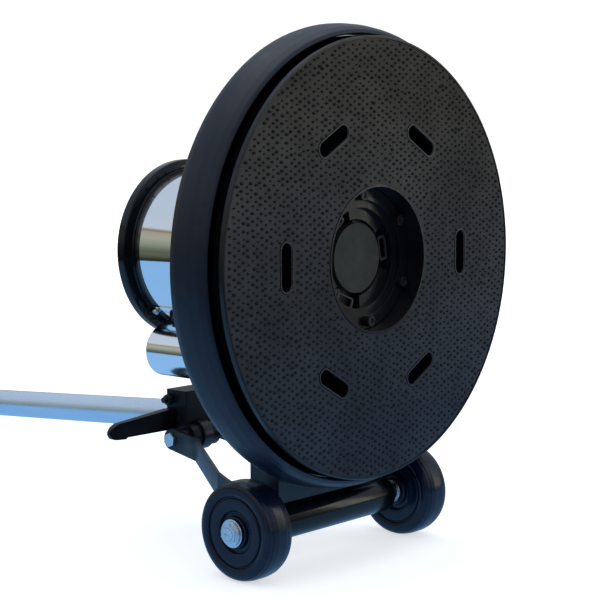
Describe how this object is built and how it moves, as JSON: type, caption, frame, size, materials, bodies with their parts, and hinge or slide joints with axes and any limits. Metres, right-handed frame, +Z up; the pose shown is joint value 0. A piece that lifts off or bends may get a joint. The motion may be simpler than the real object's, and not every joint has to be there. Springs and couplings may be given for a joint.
{
  "type": "rotary floor machine",
  "caption": "Rotary floor scrubbing and polishing machine with a pad driver disc, chromed motor cover, transport wheels and a long tiltable handle with triggers.",
  "frame": {"origin": "on the floor, under the middle of the overall bounding box; the machine stands tipped back on its two wheels with its handle grips on the floor", "axes": "+X to the machine's right seen from the pad side's back, along the axle; +Y from the pad face towards the handle's grips, parallel to the motor axis; +Z up"},
  "size_m": [0.432, 1.2338, 0.5035],
  "materials": {
    "driver_plastic": "moulded, slightly glossy",
    "pad_gripping_face": "short stiff hooks on a dark backing",
    "black_gloss_plastic": "gloss",
    "black_matte_plastic": "fine texture",
    "bumper_rubber": "satin",
    "wheel_rubber": "polished by use",
    "grip_rubber": "matt, ribbed",
    "black_paint": "gloss black enamel",
    "chrome": "mirror polished sheet",
    "zinc_steel": "bright zinc",
    "dark_steel": "blackened, oiled",
    "gear_steel": "hobbed and ground",
    "cast_aluminium": "as cast",
    "handle_tube_steel": "satin, galvanised",
    "laminations": "stacked electrical steel",
    "copper_winding": "varnished copper wire",
    "capacitor_can": "drawn can",
    "fan_plastic": "moulded nylon",
    "button_yellow": "gloss"
  },
  "bodies": {
    "chassis": {"deck_housing": "black_paint", "deck_bolts": "zinc_steel", "bumper_ring": "bumper_rubber", "gearbox_housing": "cast_aluminium", "ring_gear": "gear_steel", "output_bearing": "gear_steel", "shaft_bearings": "gear_steel", "motor_frame": "dark_steel", "stator_core": "laminations", "stator_windings": "copper_winding", "motor_end_bell": "cast_aluminium", "motor_cover": "chrome", "cover_screws": "zinc_steel", "motor_top_cap": "black_matte_plastic", "cap_screws": "zinc_steel", "capacitor_cover": "chrome", "capacitor": "capacitor_can", "deck_bracket": "black_paint", "axle_tube": "black_paint", "axle_rod": "zinc_steel", "axle_washers": "zinc_steel", "axle_nuts": "zinc_steel", "yoke_arm_left": "black_paint", "yoke_arm_right": "black_paint", "arm_bolts": "zinc_steel", "pivot_bolt": "zinc_steel", "lock_drum": "dark_steel"},
    "driver": {"pad_driver_block": "driver_plastic", "pad_grip_mat": "pad_gripping_face", "clutch_plate": "driver_plastic", "clutch_screws": "dark_steel", "drive_hub": "driver_plastic", "planet_carrier": "gear_steel"},
    "planet_a": {"planet_gear_a": "gear_steel"},
    "planet_b": {"planet_gear_b": "gear_steel"},
    "planet_c": {"planet_gear_c": "gear_steel"},
    "rotor": {"rotor_shaft": "gear_steel", "rotor_core": "laminations", "sun_pinion": "gear_steel", "cooling_fan": "fan_plastic"},
    "left_wheel": {"wheel_left": "wheel_rubber"},
    "right_wheel": {"wheel_right": "wheel_rubber"},
    "handle": {"handle_socket": "black_paint", "pedal_spring": "dark_steel", "socket_pins": "dark_steel", "socket_screws": "dark_steel", "handle_tube": "handle_tube_steel", "head_shell_top": "black_matte_plastic", "head_shell_bottom": "black_matte_plastic", "head_screws": "dark_steel", "handlebar": "zinc_steel", "hand_grips": "grip_rubber", "trigger_pins": "zinc_steel", "main_switch": "black_matte_plastic", "cord_gland": "black_matte_plastic", "cord_hooks": "black_matte_plastic"},
    "pedal": {"lock_pedal": "black_paint"},
    "left_trigger": {"trigger_left": "black_gloss_plastic"},
    "right_trigger": {"trigger_right": "black_gloss_plastic"},
    "button": {"safety_button": "button_yellow"}
  },
  "joints": [
    {"name": "driver_spin", "type": "hinge", "parent": "chassis", "child": "driver", "pos_m": [0, -0.61692, 0.2875], "axis": [0, 1, 0], "continuous": true},
    {"name": "rotor_spin", "type": "hinge", "parent": "chassis", "child": "rotor", "pos_m": [0, -0.44693, 0.2875], "axis": [0, 1, 0], "continuous": true},
    {"name": "planet_a_spin", "type": "hinge", "parent": "driver", "child": "planet_a", "pos_m": [0.03, -0.54443, 0.2875], "axis": [0, 1, 0], "continuous": true},
    {"name": "planet_b_spin", "type": "hinge", "parent": "driver", "child": "planet_b", "pos_m": [-0.015, -0.54443, 0.31348], "axis": [0, 1, 0], "continuous": true},
    {"name": "planet_c_spin", "type": "hinge", "parent": "driver", "child": "planet_c", "pos_m": [-0.015, -0.54443, 0.26152], "axis": [0, 1, 0], "continuous": true},
    {"name": "left_wheel_spin", "type": "hinge", "parent": "chassis", "child": "left_wheel", "pos_m": [-0.1141, -0.55383, 0.0457], "axis": [1, 0, 0], "continuous": true},
    {"name": "right_wheel_spin", "type": "hinge", "parent": "chassis", "child": "right_wheel", "pos_m": [0.1141, -0.55383, 0.0457], "axis": [1, 0, 0], "continuous": true},
    {"name": "handle_pivot", "type": "hinge", "parent": "chassis", "child": "handle", "pos_m": [0, -0.37693, 0.0955], "axis": [1, 0, 0], "range_deg": [-70, 0]},
    {"name": "lock_pedal_press", "type": "hinge", "parent": "handle", "child": "pedal", "pos_m": [-0.01, -0.35492, 0.1125], "axis": [0, 0, 1], "range_deg": [0, 8], "stiffness_Nm_per_rad": 2, "springref_deg": -8.59},
    {"name": "left_trigger_squeeze", "type": "hinge", "parent": "handle", "child": "left_trigger", "pos_m": [-0.053, 0.55776, 0.01887], "axis": [0, -0.0694, -0.9976], "range_deg": [0, 3.4], "stiffness_Nm_per_rad": 0.4, "springref_deg": -4.58},
    {"name": "right_trigger_squeeze", "type": "hinge", "parent": "handle", "child": "right_trigger", "pos_m": [0.053, 0.55776, 0.01887], "axis": [0, 0.0694, 0.9976], "range_deg": [0, 3.4], "stiffness_Nm_per_rad": 0.4, "springref_deg": -4.58},
    {"name": "safety_button_press", "type": "slide", "parent": "handle", "child": "button", "axis": [0, -0.9976, 0.0694], "range_m": [0, 0.004], "stiffness_N_per_m": 400, "springref_m": -0.002}
  ],
  "couplings": [
    {"joint": "rotor_spin", "follows": "driver_spin", "ratio": 10},
    {"joint": "planet_a_spin", "follows": "driver_spin", "ratio": -2.25},
    {"joint": "planet_b_spin", "follows": "driver_spin", "ratio": -2.25},
    {"joint": "planet_c_spin", "follows": "driver_spin", "ratio": -2.25}
  ]
}
